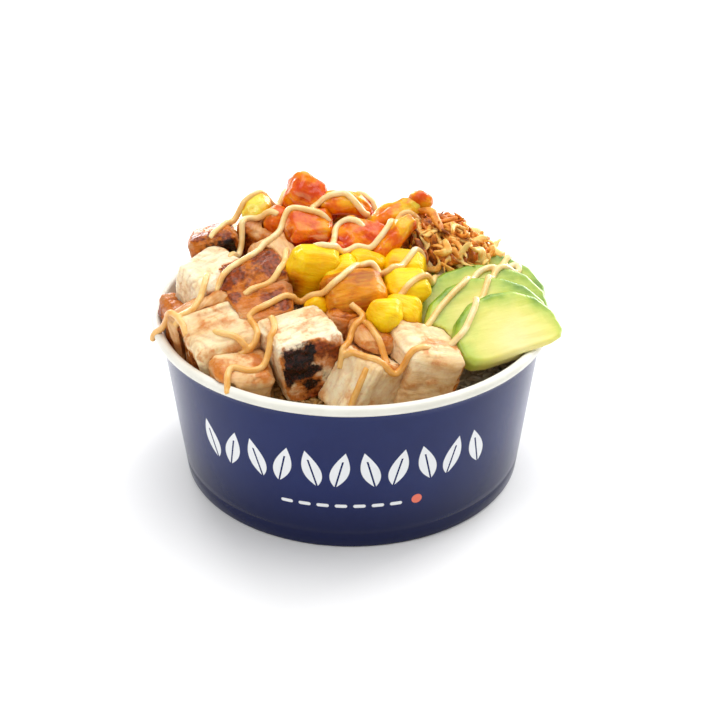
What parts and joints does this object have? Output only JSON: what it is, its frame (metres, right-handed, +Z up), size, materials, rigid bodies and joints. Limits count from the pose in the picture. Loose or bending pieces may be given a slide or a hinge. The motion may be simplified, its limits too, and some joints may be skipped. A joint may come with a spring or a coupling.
{
  "type": "poke bowl",
  "caption": "Round paper bowl heaped with diced grilled chicken, mango, tomato, fanned avocado, fried onion and drizzled sauce on rice.",
  "frame": {"origin": "on the bowl's axis, at the plane its foot stands on", "axes": "+Z up along the bowl's axis, -Y towards the printed front, +X to the avocado side"},
  "size_m": [0.1667, 0.165, 0.1165],
  "materials": {
    "paper": "satin",
    "rice": "satin",
    "chicken": "satin",
    "mango": "satin",
    "tomato": "gloss",
    "avocado": "satin",
    "onion": "satin"
  },
  "bodies": {
    "root": {"bowl": "paper", "rice_bed": "rice", "chicken_01": "chicken", "chicken_02": "chicken", "chicken_03": "chicken", "chicken_04": "chicken", "chicken_05": "chicken", "mango_01": "mango", "mango_02": "mango", "mango_03": "mango", "mango_04": "mango", "mango_05": "mango", "mango_06": "mango", "mango_07": "mango", "mango_08": "mango", "mango_12": "mango", "tomato_01": "tomato", "tomato_02": "tomato", "tomato_03": "tomato", "tomato_04": "tomato", "tomato_05": "tomato", "tomato_06": "tomato", "tomato_07": "tomato", "tomato_08": "tomato", "tomato_09": "tomato", "tomato_13": "tomato", "avocado_01": "avocado", "avocado_02": "avocado", "avocado_03": "avocado", "avocado_04": "avocado", "onion_heap": "onion", "chicken_06": "chicken", "chicken_07": "chicken", "chicken_08": "chicken", "chicken_09": "chicken", "chicken_10": "chicken", "chicken_11": "chicken", "chicken_12": "chicken", "chicken_13": "chicken", "chicken_14": "chicken", "chicken_15": "chicken", "tomato_10": "tomato", "tomato_11": "tomato", "tomato_12": "tomato", "chicken_16": "chicken", "chicken_17": "chicken", "chicken_18": "chicken", "chicken_19": "chicken", "chicken_20": "chicken", "chicken_21": "chicken", "mango_09": "mango", "mango_10": "mango", "mango_11": "mango", "mango_13": "mango", "avocado_05": "avocado"}
  },
  "joints": []
}
